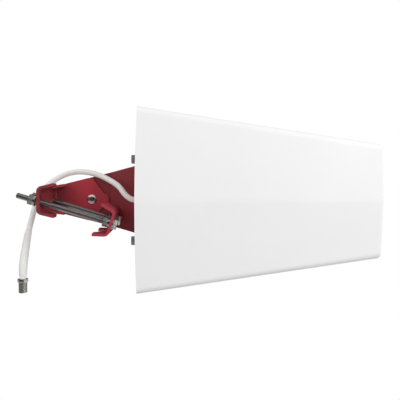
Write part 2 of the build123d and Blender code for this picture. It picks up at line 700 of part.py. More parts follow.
def flat_washer():
    """Plain washer standing on the XY plane."""
    with BuildPart() as washer:
        with BuildSketch():
            Circle(WASHER_RADIUS)
            Circle(ROD_RADIUS + THREAD_CLEARANCE, mode=Mode.SUBTRACT)
        extrude(amount=WASHER_THICKNESS)
        chamfer(washer.edges().group_by(Axis.Z)[-1].sort_by(SortBy.RADIUS)[-1], length=SMALL_CHAMFER)
    return washer.part


def split_washer():
    """Spring washer: a square-section ring with a slanting gap."""
    with BuildPart() as washer:
        with BuildSketch():
            Circle(LOCK_WASHER_RADIUS)
            Circle(ROD_RADIUS + THREAD_CLEARANCE, mode=Mode.SUBTRACT)
        extrude(amount=LOCK_WASHER_THICKNESS)
        with BuildSketch(Plane(origin=(0, 0, LOCK_WASHER_THICKNESS / 2), x_dir=(0, 1, 0), z_dir=(1, 0, 0))):
            Rectangle(CHAMFER, 3 * LOCK_WASHER_THICKNESS, rotation=-30)
        extrude(amount=2 * LOCK_WASHER_RADIUS, mode=Mode.SUBTRACT)
    return washer.part


def on_rods(distance, piece):
    """Copies of a fastener at a distance along both bolts, inside a part block."""
    with Locations(*[looking(along_rod(distance, y), ROD_DIRECTION) for y in ROD_SIDES]):
        add(piece)


with BuildPart() as clamp_bolts:
    bolt = hexagon_bolt(NUT_FLATS, HEAD_HEIGHT, ROD_RADIUS, CLAMP_BOLT_LENGTH)
    back_along_rod = (-cos(droop), 0, sin(droop))
    with Locations(*[looking(along_rod(BOLT_SEAT, y), back_along_rod) for y in ROD_SIDES]):
        add(bolt)

with BuildPart() as clamp_head_washers:
    on_rods(JAW_OUTER_FACE, flat_washer())

with BuildPart() as inner_washers:
    on_rods(JAW_INNER_FACE - WASHER_THICKNESS, flat_washer())

with BuildPart() as inner_lock_washers:
    on_rods(INNER_LOCK_START, split_washer())

with BuildPart() as inner_nuts:
    on_rods(INNER_LOCK_START - NUT_HEIGHT, hexagon_nut())

with BuildPart() as outer_flat_washers:
    on_rods(OUTER_LOCK_START, flat_washer())

with BuildPart() as outer_lock_washers:
    on_rods(OUTER_NUT_START, split_washer())

with BuildPart() as outer_nuts:
    on_rods(OUTER_NUT_START - NUT_HEIGHT, hexagon_nut())

# Pivot: cross-recess screw through both plates, with washer and nut behind

with BuildPart() as pivot_screw:
    with BuildSketch(Plane.XZ.offset(-SIDE_PLATE_Y)):
        with Locations((PIVOT_X, 0)):
            Circle(PIVOT_HEAD_RADIUS)
    extrude(amount=PIVOT_HEAD_HEIGHT)
    fillet(pivot_screw.edges().group_by(Axis.Y)[0], radius=PIVOT_HEAD_HEIGHT * 0.6)
    with BuildSketch(Plane.XZ.offset(-SIDE_PLATE_Y + PIVOT_HEAD_HEIGHT)):
        with Locations((PIVOT_X, 0)):
            Rectangle(RECESS_LENGTH, RECESS_WIDTH, rotation=45)
            Rectangle(RECESS_WIDTH, RECESS_LENGTH, rotation=45)
    extrude(amount=-RECESS_DEPTH, mode=Mode.SUBTRACT)
    with BuildSketch(Plane.XZ.offset(-SIDE_PLATE_Y)):
        with Locations((PIVOT_X, 0)):
            Circle(ROD_RADIUS)
    extrude(amount=-PIVOT_SHANK_LENGTH)
    chamfer(pivot_screw.edges().group_by(Axis.Y)[-1], length=CHAMFER)

ARM_BACK_Y = BRACKET_BACK_Y + SHEET

with BuildPart() as pivot_washer:
    with Locations(looking((PIVOT_X, ARM_BACK_Y, 0), (0, 1, 0))):
        add(flat_washer())

with BuildPart() as pivot_nut:
    with Locations(looking((PIVOT_X, ARM_BACK_Y + WASHER_THICKNESS, 0), (0, 1, 0))):
        add(hexagon_nut())

# Flange bolts and the threaded inserts that they enter

with BuildPart() as flange_bolts:
    flange_bolt = hexagon_bolt(FLANGE_BOLT_FLATS, FLANGE_HEAD_HEIGHT, FLANGE_BOLT_RADIUS, FLANGE_BOLT_LENGTH)
    flange_bolt = flange_bolt.rotate(Axis.Z, 30)
    with Locations(*[looking((CAP_FACE - SHEET, 0, z), (1, 0, 0)) for z in BOLT_HEIGHTS]):
        add(flange_bolt)

with BuildPart() as threaded_inserts:
    with BuildSketch(Plane.YZ.offset(CAP_BACK + BOSS_LENGTH - INSERT_LENGTH)):
        with Locations(*[(0, z) for z in BOLT_HEIGHTS]):
            Circle(INSERT_RADIUS)
            Circle(FLANGE_BOLT_RADIUS + THREAD_CLEARANCE, mode=Mode.SUBTRACT)
    extrude(amount=INSERT_LENGTH)

# Cable, its sleeve and the socket on its end


def corner_radii(route):
    """Largest arc at each corner that its two runs allow."""
    radii = []
    for before, here, after in zip(route, route[1:], route[2:]):
        run_in = Vector(here) - Vector(before)
        run_out = Vector(after) - Vector(here)
        half_turn = radians(run_in.get_angle(run_out)) / 2
        radii.append(0.45 * min(run_in.length, run_out.length) / tan(half_turn))
    return radii


bend_radii = corner_radii(CABLE_ROUTE)
print("cable arcs:", [round(radius) for radius in bend_radii])

with BuildLine() as cable_line:
    FilletPolyline(*CABLE_ROUTE, radius=bend_radii)

cable_length = cable_line.wire().length
print("cable length:", round(cable_length, 1))
cable_mouth = Plane(origin=cable_line.wire() @ 0, z_dir=cable_line.wire() % 0)

with BuildPart() as coax_cable:
    with BuildSketch(cable_mouth):
        Circle(CABLE_RADIUS)
    sweep(path=cable_line.wire())

print("cable volume ratio:", round(coax_cable.part.volume / (pi * CABLE_RADIUS**2 * cable_length), 4))

sleeve_corner = int(SLEEVE_START)
sleeve_from = Vector(CABLE_ROUTE[sleeve_corner])
sleeve_to = Vector(CABLE_ROUTE[sleeve_corner + 1])
sleeve_top = sleeve_from + (sleeve_to - sleeve_from) * (SLEEVE_START - sleeve_corner)
sleeve_cut = Plane(origin=sleeve_top, z_dir=sleeve_to - sleeve_from)

with BuildPart() as heat_shrink_sleeve:
    with BuildSketch(cable_mouth):
        Circle(CABLE_RADIUS + SLEEVE_CLEARANCE + SLEEVE_WALL)
        Circle(CABLE_RADIUS + SLEEVE_CLEARANCE, mode=Mode.SUBTRACT)
    sweep(path=cable_line.wire())
    split(bisect_by=sleeve_cut, keep=Keep.TOP)

socket_axis = (CABLE_ROUTE[-1][0], CABLE_ROUTE[-1][1])
BARREL_TOP = SOCKET_TOP - COLLAR_HEIGHT
SOCKET_MOUTH = BARREL_TOP - BARREL_LENGTH

with BuildPart() as socket_body:
    with Locations((*socket_axis, BARREL_TOP)):
        add(rounded_hexagon(SOCKET_FLATS, COLLAR_HEIGHT))
    with BuildSketch(Plane.XY.offset(BARREL_TOP)):
        with Locations(socket_axis):
            Circle(BARREL_RADIUS)
    extrude(amount=-BARREL_LENGTH)
    chamfer(socket_body.edges().group_by(Axis.Z)[0], length=CHAMFER)
    with BuildSketch(Plane.XY.offset(SOCKET_MOUTH)):
        with Locations(socket_axis):
            Circle(SOCKET_BORE_RADIUS)
    extrude(amount=SOCKET_BORE_DEPTH, mode=Mode.SUBTRACT)

with BuildPart() as socket_insulator:
    with BuildSketch(Plane.XY.offset(SOCKET_MOUTH + INSULATOR_RECESS)):
        with Locations(socket_axis):
            Circle(SOCKET_BORE_RADIUS - THREAD_CLEARANCE)
            Circle(CONTACT_RADIUS + THREAD_CLEARANCE, mode=Mode.SUBTRACT)
    extrude(amount=SOCKET_BORE_DEPTH - INSULATOR_RECESS)

with BuildPart() as socket_contact:
    with BuildSketch(Plane.XY.offset(SOCKET_MOUTH + 2 * INSULATOR_RECESS)):
        with Locations(socket_axis):
            Circle(CONTACT_RADIUS)
    extrude(amount=SOCKET_BORE_DEPTH - 2 * INSULATOR_RECESS)
    with BuildSketch(Plane.XY.offset(SOCKET_MOUTH + 2 * INSULATOR_RECESS)):
        with Locations(socket_axis):
            Circle(CONTACT_BORE_RADIUS)
    extrude(amount=SOCKET_BORE_DEPTH / 2, mode=Mode.SUBTRACT)

# Labels and files

radome_shell.part.label = "radome_shell"
export_step(radome_shell.part, "parts/radome_shell.step")
rear_cap.part.label = "rear_cap"
export_step(rear_cap.part, "parts/rear_cap.step")
cap_gasket.part.label = "cap_gasket"
export_step(cap_gasket.part, "parts/cap_gasket.step")
cable_grommet.part.label = "cable_grommet"
export_step(cable_grommet.part, "parts/cable_grommet.step")
boom_near.part.label = "boom_near"
export_step(boom_near.part, "parts/boom_near.step")
boom_far.part.label = "boom_far"
export_step(boom_far.part, "parts/boom_far.step")
elements_near.part.label = "elements_near"
export_step(elements_near.part, "parts/elements_near.step")
elements_far.part.label = "elements_far"
export_step(elements_far.part, "parts/elements_far.step")
boom_holder.part.label = "boom_holder"
export_step(boom_holder.part, "parts/boom_holder.step")
mid_spacer.part.label = "mid_spacer"
export_step(mid_spacer.part, "parts/mid_spacer.step")
front_spacer.part.label = "front_spacer"
export_step(front_spacer.part, "parts/front_spacer.step")
shorting_bar.part.label = "shorting_bar"
export_step(shorting_bar.part, "parts/shorting_bar.step")
feed_board.part.label = "feed_board"
export_step(feed_board.part, "parts/feed_board.step")
feed_coax.part.label = "feed_coax"
export_step(feed_coax.part, "parts/feed_coax.step")
holder_screws.part.label = "holder_screws"
export_step(holder_screws.part, "parts/holder_screws.step")
shorting_screws.part.label = "shorting_screws"
export_step(shorting_screws.part, "parts/shorting_screws.step")
feed_screws.part.label = "feed_screws"
export_step(feed_screws.part, "parts/feed_screws.step")
pole_bracket.part.label = "pole_bracket"
export_step(pole_bracket.part, "parts/pole_bracket.step")
antenna_bracket.part.label = "antenna_bracket"
export_step(antenna_bracket.part, "parts/antenna_bracket.step")
clamp_jaw.part.label = "clamp_jaw"
export_step(clamp_jaw.part, "parts/clamp_jaw.step")
clamp_bolts.part.label = "clamp_bolts"
export_step(clamp_bolts.part, "parts/clamp_bolts.step")
clamp_head_washers.part.label = "clamp_head_washers"
export_step(clamp_head_washers.part, "parts/clamp_head_washers.step")
inner_washers.part.label = "inner_washers"
export_step(inner_washers.part, "parts/inner_washers.step")
inner_lock_washers.part.label = "inner_lock_washers"
export_step(inner_lock_washers.part, "parts/inner_lock_washers.step")
inner_nuts.part.label = "inner_nuts"
export_step(inner_nuts.part, "parts/inner_nuts.step")
outer_flat_washers.part.label = "outer_flat_washers"
export_step(outer_flat_washers.part, "parts/outer_flat_washers.step")
outer_lock_washers.part.label = "outer_lock_washers"
export_step(outer_lock_washers.part, "parts/outer_lock_washers.step")
outer_nuts.part.label = "outer_nuts"
export_step(outer_nuts.part, "parts/outer_nuts.step")
pivot_screw.part.label = "pivot_screw"
export_step(pivot_screw.part, "parts/pivot_screw.step")
pivot_washer.part.label = "pivot_washer"
export_step(pivot_washer.part, "parts/pivot_washer.step")
pivot_nut.part.label = "pivot_nut"
export_step(pivot_nut.part, "parts/pivot_nut.step")
flange_bolts.part.label = "flange_bolts"
export_step(flange_bolts.part, "parts/flange_bolts.step")
threaded_inserts.part.label = "threaded_inserts"
export_step(threaded_inserts.part, "parts/threaded_inserts.step")
coax_cable.part.label = "coax_cable"
export_step(coax_cable.part, "parts/coax_cable.step")
heat_shrink_sleeve.part.label = "heat_shrink_sleeve"
export_step(heat_shrink_sleeve.part, "parts/heat_shrink_sleeve.step")
socket_body.part.label = "socket_body"
export_step(socket_body.part, "parts/socket_body.step")
socket_insulator.part.label = "socket_insulator"
export_step(socket_insulator.part, "parts/socket_insulator.step")
socket_contact.part.label = "socket_contact"
export_step(socket_contact.part, "parts/socket_contact.step")
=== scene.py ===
# %% [markdown]
# # A directional antenna on a tilting pole clamp
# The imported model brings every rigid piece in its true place, so this lesson starts from it. We
# keep its sheet metal and its housing, give each a real finish, and model again the pieces that
# need threads, soft edges or a natural curve: the bolts, nuts, screws, the cable and its socket.

from math import cos, pi, radians, sin

import bmesh
import bpy
from mathutils import Matrix, Vector


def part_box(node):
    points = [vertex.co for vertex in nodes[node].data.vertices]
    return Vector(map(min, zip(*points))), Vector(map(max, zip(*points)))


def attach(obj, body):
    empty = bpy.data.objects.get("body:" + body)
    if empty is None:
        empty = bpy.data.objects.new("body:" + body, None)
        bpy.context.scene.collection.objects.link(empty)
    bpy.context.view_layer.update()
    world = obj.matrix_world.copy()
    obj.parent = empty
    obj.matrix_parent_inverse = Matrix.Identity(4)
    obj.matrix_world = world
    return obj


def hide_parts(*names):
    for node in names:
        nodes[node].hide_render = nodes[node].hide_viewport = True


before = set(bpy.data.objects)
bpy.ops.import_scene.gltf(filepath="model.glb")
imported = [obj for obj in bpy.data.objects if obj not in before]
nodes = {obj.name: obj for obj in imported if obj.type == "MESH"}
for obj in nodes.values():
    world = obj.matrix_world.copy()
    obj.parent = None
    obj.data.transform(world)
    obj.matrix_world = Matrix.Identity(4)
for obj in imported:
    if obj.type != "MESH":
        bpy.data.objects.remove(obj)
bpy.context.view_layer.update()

# %% [markdown]
# ## Camera
# The photograph was taken nearly level, from in front of the clamp and about half a metre away,
# with a focal length equal to the picture's width. The turn, the dip and the slight roll were
# solved from the two jaws, the housing's ends and the socket, so a piece lands where the photo
# has it.

# %% Place the camera
PICTURE_MM = 36.0
YAW = radians(6.84)
PITCH = radians(1.43)
ROLL = radians(0.4)
CAMERA_PLACE = (0.0905, -0.488, 0.0127)
NEAREST_SEEN = 0.01
FARTHEST_SEEN = 50.0


def add_object(name, data):
    """Object with this data, linked to the scene."""
    made = bpy.data.objects.new(name, data)
    bpy.context.scene.collection.objects.link(made)
    return made


camera_data = bpy.data.cameras.new("photo camera")
camera_data.sensor_width = PICTURE_MM
camera_data.lens = PICTURE_MM
camera_data.clip_start = NEAREST_SEEN
camera_data.clip_end = FARTHEST_SEEN
camera = add_object("photo camera", camera_data)
bpy.context.scene.camera = camera

forward = Vector((sin(YAW) * cos(PITCH), cos(YAW) * cos(PITCH), -sin(PITCH)))
level_right = Vector((cos(YAW), -sin(YAW), 0.0))
level_up = level_right.cross(forward)
camera_right = level_right * cos(ROLL) + level_up * sin(ROLL)
camera_up = level_up * cos(ROLL) - level_right * sin(ROLL)
turn = Matrix((camera_right, camera_up, -forward)).transposed().to_4x4()
camera.matrix_world = Matrix.Translation(CAMERA_PLACE) @ turn
print("camera looks along", [round(value, 3) for value in forward])

# %% [markdown]
# ## Two helpers for materials
# Colours are written as they look on a screen and turned to the linear light that the shader
# works in. Every node of every finish is added by one function, which also sets its sockets.


# %% Colour and node helpers
def colour(code):
    """Linear colour of a screen colour such as #C0392B."""
    channels = [int(code[place : place + 2], 16) / 255 for place in (1, 3, 5)]
    linear = [c / 12.92 if c <= 0.04045 else ((c + 0.055) / 1.055) ** 2.4 for c in channels]
    return (*linear, 1.0)


def add_node(tree, kind, inputs=None, **settings):
    """Adds a node, sets its settings, and sets or links its inputs."""
    node = tree.nodes.new(kind)
    for name, value in settings.items():
        setattr(node, name, value)
    for name, value in (inputs or {}).items():
        if isinstance(value, bpy.types.NodeSocket):
            tree.links.new(value, node.inputs[name])
        else:
            node.inputs[name].default_value = value
    return node


# %% [markdown]
# A finish is a base colour that varies a little, a roughness that varies a little, and one or two
# layers of relief, each at the size that the real surface has. One recipe serves all the finishes:
# the sizes are given in millimetres, and the differences between materials are in the numbers.

# %% The finish recipe
MM_PER_M = 1000.0
COAT_ROUGHNESS = 0.18
CLOUD_LOW = 0.3
CLOUD_HIGH = 0.7


def finish(
    name,
    base,
    second,
    roughness=(0.4, 0.5),
    metallic=0.0,
    grain_mm=0.6,
    grain_height_mm=0.01,
    cloud_mm=20.0,
    wave_mm=0.0,
    wave_height_mm=0.0,
    coat=0.0,
    specular=0.5,
    stretch=(1.0, 1.0, 1.0),
    painted_shade=None,
    painted_shade_from=0.0,
    painted_shade_to=0.0,
):
    """Material with mottled colour, varied gloss, fine relief and an optional broad waviness.

    An optional painted shade fades the colour to a darker one along X, between two given places.
    """
    material = bpy.data.materials.new(name)
    material.use_nodes = True
    tree = material.node_tree
    shader = tree.nodes["Principled BSDF"]
    shader.inputs["Metallic"].default_value = metallic
    shader.inputs["Specular IOR Level"].default_value = specular
    shader.inputs["Coat Weight"].default_value = coat
    shader.inputs["Coat Roughness"].default_value = COAT_ROUGHNESS

    place = add_node(tree, "ShaderNodeTexCoord").outputs["Object"]
    stretched = {"Vector": place, "Scale": stretch}
    place = add_node(tree, "ShaderNodeMapping", stretched).outputs["Vector"]
    noise = {"Vector": place, "Scale": MM_PER_M / cloud_mm, "Detail": 4.0, "Roughness": 0.55}
    clouds = add_node(tree, "ShaderNodeTexNoise", noise).outputs["Fac"]
    noise = {"Vector": place, "Scale": MM_PER_M / grain_mm, "Detail": 3.0, "Roughness": 0.6}
    grain = add_node(tree, "ShaderNodeTexNoise", noise).outputs["Fac"]

    mottled = {"Factor": clouds, "A": colour(base), "B": colour(second)}
    skin = add_node(tree, "ShaderNodeMix", mottled, data_type="RGBA").outputs["Result"]
    # Painted shade: the colour fades to a darker red along X.
    if painted_shade:
        along = add_node(tree, "ShaderNodeSeparateXYZ", {"Vector": place}).outputs["X"]
        reach = {"Value": along, "From Min": painted_shade_from, "From Max": painted_shade_to}
        shade_share_and_bare_line = add_node(tree, "ShaderNodeMapRange", reach).outputs["Result"]
        painted_shade_mix = {"Factor": shade_share_and_bare_line, "A": skin, "B": colour(painted_shade)}
        skin = add_node(tree, "ShaderNodeMix", painted_shade_mix, data_type="RGBA").outputs["Result"]
    tree.links.new(skin, shader.inputs["Base Color"])

    spread = {
        "Value": clouds,
        "From Min": CLOUD_LOW,
        "From Max": CLOUD_HIGH,
        "To Min": roughness[0],
        "To Max": roughness[1],
    }
    gloss = add_node(tree, "ShaderNodeMapRange", spread).outputs["Result"]
    tree.links.new(gloss, shader.inputs["Roughness"])

    bumps = {"Height": grain, "Distance": grain_height_mm / MM_PER_M, "Strength": 1.0}
    relief = add_node(tree, "ShaderNodeBump", bumps)
    if wave_mm:
        noise = {"Vector": place, "Scale": MM_PER_M / wave_mm, "Detail": 1.0}
        waves = add_node(tree, "ShaderNodeTexNoise", noise).outputs["Fac"]
        swells = {"Height": waves, "Distance": wave_height_mm / MM_PER_M, "Strength": 1.0}
        broad = add_node(tree, "ShaderNodeBump", swells)
        tree.links.new(broad.outputs["Normal"], relief.inputs["Normal"])
    tree.links.new(relief.outputs["Normal"], shader.inputs["Normal"])
    return material


def wear(piece, material):
    """Gives a piece, or a node named in words, this finish and no other."""
    target = nodes[piece] if isinstance(piece, str) else piece
    target.data.materials.clear()
    target.data.materials.append(material)


# %% [markdown]
# ## Housing
# The housing is one moulding of white plastic. Its mould was spark-eroded, so the skin has a grain
# of a third of a millimetre, and a thin wall cooled over its ribs is never quite flat, which the
# broad waviness gives. The cap and the rubber pieces are duller.

# %% Finish the housing
radome_plastic = finish(
    "spark grained white plastic",
    "#F4F4F4",
    "#EFEFEF",
    roughness=(0.44, 0.52),
    grain_mm=0.35,
    grain_height_mm=0.012,
    cloud_mm=60.0,
    wave_mm=45.0,
    wave_height_mm=0.12,
    specular=0.2,
)
cap_plastic = finish(
    "matt cap plastic",
    "#DCDCDA",
    "#D2D2D0",
    roughness=(0.5, 0.62),
    grain_mm=0.5,
    grain_height_mm=0.02,
)
gasket_rubber = finish(
    "black gasket rubber", "#1C1C1C", "#262626", roughness=(0.7, 0.85), grain_mm=0.8
)
grommet_rubber = finish(
    "pale grommet rubber", "#D8D6D2", "#CECCC8", roughness=(0.6, 0.75), grain_mm=0.8
)
wear("radome_shell", radome_plastic)
wear("rear_cap", cap_plastic)
wear("cap_gasket", gasket_rubber)
wear("cable_grommet", grommet_rubber)
print("housing finished")

# %% [markdown]
# ## Red sheet metal
# The brackets are folded steel with a red powder coat. Baked powder flows into orange peel: bumps
# a millimetre or so wide under a clear gloss. The red darkens towards the fixed jaw as painted
# shade, and the clamp jaw and the arm wear darker copies of the red, which are painted shade too.

# %% Finish the sheet metal
powder_red = dict(
    roughness=(0.3, 0.42),
    grain_mm=1.1,
    grain_height_mm=0.025,
    cloud_mm=14.0,
    specular=0.4,
    coat=0.12,
)
# The red fades to a deeper red from X 4 mm to X -26 mm, towards the fixed jaw: painted shade.
bracket_paint = finish(
    "red powder coat",
    "#C03A47",
    "#B2333F",
    painted_shade="#853238",
    painted_shade_from=0.004,
    painted_shade_to=-0.026,
    **powder_red,
)
# The clamp jaw and the arm get darker copies of the same red: painted shade.
shaded_jaw_paint = finish("red powder coat of the jaw", "#AC3B4B", "#A13443", **powder_red)
shaded_arm_paint = finish("red powder coat of the arm", "#99393F", "#8D343B", **powder_red)
wear("pole_bracket", bracket_paint)
wear("clamp_jaw", shaded_jaw_paint)
wear("antenna_bracket", shaded_arm_paint)
print("sheet metal finished")

# %% [markdown]
# ## Zinc plated hardware
# Bolts, nuts and washers are zinc plated: a grey metal that mirrors the room softly, with a fine
# crystalline mottle. The nuts are darker than the bolts' heads. The pivot screw has a pale, thick
# chromate, dimpled so that its head glitters.

# %% Finishes of the hardware
zinc_steel = finish(
    "zinc plated steel",
    "#A7A4A3",
    "#868281",
    roughness=(0.27, 0.4),
    metallic=1.0,
    grain_mm=0.25,
    grain_height_mm=0.004,
    cloud_mm=2.2,
)
nut_steel = finish(
    "zinc plated nut",
    "#7F7C7E",
    "#5E5A5C",
    roughness=(0.24, 0.4),
    metallic=1.0,
    grain_mm=0.3,
    grain_height_mm=0.005,
    cloud_mm=2.8,
)
head_steel = finish(
    "bright plated bolt head",
    "#B5B0AE",
    "#97918F",
    roughness=(0.22, 0.36),
    metallic=1.0,
    grain_mm=0.3,
    grain_height_mm=0.004,
    cloud_mm=3.0,
)
washer_steel = finish(
    "zinc plated washer",
    "#A09E9F",
    "#837F80",
    roughness=(0.22, 0.38),
    metallic=1.0,
    grain_mm=0.3,
    grain_height_mm=0.005,
    cloud_mm=3.5,
)
pivot_steel = finish(
    "chromated pivot screw",
    "#EAE4DF",
    "#A79F98",
    roughness=(0.2, 0.34),
    metallic=1.0,
    grain_mm=1.3,
    grain_height_mm=0.16,
    cloud_mm=1.6,
)
for name in ("holder_screws", "shorting_screws", "feed_screws"):
    wear(name, zinc_steel)
for name in ("clamp_head_washers", "inner_washers", "outer_flat_washers", "pivot_washer"):
    wear(name, washer_steel)
print("hardware finished")

# %% [markdown]
# ## Threads
# A thread is one zigzag profile that turns once while it climbs one pitch: every tooth lands on the
# next one's start, so the spin gives the whole helix at once. Its ragged ends are cut square. The
# quarter-inch bolts have twenty threads to the inch, a pitch of 1.27 mm, and the crests are a
# little flat, as rolled threads are.

# %% Thread helper
ROD_RADIUS = 0.003175
ROD_PITCH = 0.00127
THREAD_DEPTH = 0.0006
CREST_START = 0.34
CREST_END = 0.7
WELD_SHARE = 0.002
CUT_TOLERANCE = 1e-7
SAME_HEIGHT = 1e-6
HEXAGON_BEVEL = dict(offset_type="OFFSET", affect="EDGES", material=-1)
CORNER_WIDTH = 1.6
LID_INSET = 0.05


def new_piece(name, mesh_maker, smooth_angle=35.0):
    """Object at the origin whose mesh is made by a function that fills a bmesh."""
    shape = bmesh.new()
    mesh_maker(shape)
    mesh = bpy.data.meshes.new(name)
    shape.to_mesh(mesh)
    shape.free()
    piece = add_object(name, mesh)
    for polygon in mesh.polygons:
        polygon.use_smooth = True
    mesh.set_sharp_from_angle(angle=radians(smooth_angle))
    return piece


def facing(direction):
    """Matrix that turns the Z axis along a direction."""
    return Vector(direction).to_track_quat("Z", "Y").to_matrix().to_4x4()


def standing(origin, direction):
    """Matrix that stands a piece, drawn up the Z axis, at origin along direction."""
    return Matrix.Translation(origin) @ facing(direction)


def verts_since(shape, before):
    """Vertices that a shape has now and hadn't before."""
    return [vert for vert in shape.verts if vert not in before]


def edges_of(verts):
    """Edges that touch any of these vertices."""
    return list({edge for vert in verts for edge in vert.link_edges})


def faces_of(verts):
    """Faces that touch any of these vertices."""
    return list({face for vert in verts for face in vert.link_faces})


def spin_line(shape, verts, steps, climb=0.0):
    """Joins points to a line and turns it once round the Z axis while it climbs."""
    edges = [shape.edges.new(pair) for pair in zip(verts, verts[1:])]
    bmesh.ops.spin(
        shape,
        geom=verts + edges,
        cent=(0, 0, 0),
        axis=(0, 0, 1),
        dvec=(0, 0, climb / steps),
        angle=2 * pi,
        steps=steps,
        use_merge=not climb,
    )


def set_down(shape, before, place):
    """Turns the newly made faces outward and moves what was made to its place."""
    made = verts_since(shape, before)
    bmesh.ops.recalc_face_normals(shape, faces=faces_of(made))
    bmesh.ops.transform(shape, matrix=place, verts=made)


def thread(shape, radius, pitch, depth, start, end, place, steps=30, sleeve=False):
    """Threaded surface between two heights, closed with flat ends unless it sleeves a barrel."""
    before = set(shape.verts)
    count = int((end - start) / pitch) + 3
    root = radius - depth
    chain = []
    for number in range(count):
        base = start + (number - 1.5) * pitch
        for share, reach in ((0.0, root), (CREST_START, radius), (CREST_END, radius)):
            chain.append(shape.verts.new((reach, 0.0, base + share * pitch)))
    spin_line(shape, chain, steps, climb=pitch)
    made = verts_since(shape, before)
    bmesh.ops.remove_doubles(shape, verts=made, dist=radius * WELD_SHARE)
    for height, outward in ((start, -1), (end, 1)):
        made = verts_since(shape, before)
        cut = bmesh.ops.bisect_plane(
            shape,
            geom=made + edges_of(made) + faces_of(made),
            dist=CUT_TOLERANCE,
            plane_co=(0, 0, height),
            plane_no=(0, 0, outward),
            clear_outer=True,
        )
        rim = [item for item in cut["geom_cut"] if isinstance(item, bmesh.types.BMEdge)]
        if not sleeve:
            bmesh.ops.contextual_create(shape, geom=rim)
    set_down(shape, before, place)


def rise(edge):
    """Height between the two ends of an edge."""
    return abs(edge.verts[0].co.z - edge.verts[1].co.z)


def hexagon(shape, flats, start, end, place, soft=0.00035, bore=0.0):
    """Hexagon prism with soft corners and turned-off ends, with a bore if one is given."""
    before = set(shape.verts)
    corner = flats / 2 / cos(pi / 6)
    low = Matrix.Translation((0, 0, start))
    ring = bmesh.ops.create_circle(shape, cap_ends=True, segments=6, radius=corner, matrix=low)
    ring = ring["verts"]
    flat_side = Matrix.Rotation(pi / 6, 3, "Z")
    bmesh.ops.rotate(shape, verts=ring, cent=(0, 0, 0), matrix=flat_side)
    top = bmesh.ops.extrude_face_region(shape, geom=faces_of(ring))
    lifted = [item for item in top["geom"] if isinstance(item, bmesh.types.BMVert)]
    bmesh.ops.translate(shape, verts=lifted, vec=(0, 0, end - start))

    upright = [edge for edge in edges_of(verts_since(shape, before)) if rise(edge) > soft]
    width = soft * CORNER_WIDTH
    bmesh.ops.bevel(
        shape, geom=upright, offset=width, segments=3, profile=0.5, **HEXAGON_BEVEL
    )
    rims = [edge for edge in edges_of(verts_since(shape, before)) if rise(edge) < SAME_HEIGHT]
    bmesh.ops.bevel(shape, geom=rims, offset=soft, segments=2, profile=0.6, **HEXAGON_BEVEL)

    if bore:
        for height in (start, end):
            level = [
                face
                for face in faces_of(verts_since(shape, before))
                if all(abs(vert.co.z - height) < SAME_HEIGHT for vert in face.verts)
            ]
            lid = max(level, key=lambda face: face.calc_area())
            bmesh.ops.inset_individual(shape, faces=[lid], thickness=flats * LID_INSET)
            for vert in lid.verts:
                vert.co.xy = vert.co.xy.normalized() * bore
            bmesh.ops.delete(shape, geom=[lid], context="FACES_ONLY")
        borders = [edge for edge in edges_of(verts_since(shape, before)) if edge.is_boundary]
        bmesh.ops.bridge_loops(shape, edges=borders)
    set_down(shape, before, place)


print("thread depth of the bolts:", THREAD_DEPTH * MM_PER_M, "mm")

# %% [markdown]
# ## Clamp bolts, nuts and split washers
# The bolts hang from the fixed jaw along one direction, so each fastener is drawn standing up and
# then laid on that line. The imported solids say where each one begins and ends.

# %% Lay the fasteners on the bolts' line
DROOP = radians(17.1)
WEB = Vector((-0.0329, 0.0, -0.0017))
ROD_LINE = Vector((cos(DROOP), 0.0, -sin(DROOP)))
ROD_SIDES = (-0.0292, 0.0292)
NUT_FLATS = 0.0111
NUT_THICKNESS = 0.0051
NUT_CLEARANCE = 0.00003
INNER_NUT_START = 0.0721
OUTER_NUT_START = -0.0114
BOLT_SEAT = 0.0841
HEAD_HEIGHT = 0.0039
BOLT_LENGTH = 0.1089
TIP_LENGTH = 0.0007
TIP_NARROW = 0.78
TIP_WIDE = 0.97
THREAD_FROM_TIP = 0.0006
THREAD_IN_HEAD = 0.0004


def on_rod(distance, side):
    """Matrix of a fastener that stands at a distance along the bolt on one side."""
    return standing(WEB + ROD_LINE * distance + Vector((0.0, side, 0.0)), ROD_LINE)


def clamp_bolt_pair(shape):
    """Two bolts with hexagon heads, threads up to the head and turned-down tips."""
    tip = BOLT_SEAT - BOLT_LENGTH
    for side in ROD_SIDES:
        line = on_rod(0.0, side)
        hexagon(shape, NUT_FLATS, BOLT_SEAT, BOLT_SEAT + HEAD_HEIGHT, line)
        start = tip + THREAD_FROM_TIP
        end = BOLT_SEAT + THREAD_IN_HEAD
        thread(shape, ROD_RADIUS, ROD_PITCH, THREAD_DEPTH, start, end, line)
        bmesh.ops.create_cone(
            shape,
            cap_ends=True,
            segments=30,
            radius1=ROD_RADIUS * TIP_NARROW,
            radius2=ROD_RADIUS * TIP_WIDE,
            depth=TIP_LENGTH,
            matrix=on_rod(tip + TIP_LENGTH / 2, side),
        )


def nut_pair(start):
    """Function that draws two nuts from a distance along the bolts."""

    def draw(shape):
        end = start + NUT_THICKNESS
        for side in ROD_SIDES:
            bore = ROD_RADIUS + NUT_CLEARANCE
            hexagon(shape, NUT_FLATS, start, end, on_rod(0.0, side), bore=bore)

    return draw


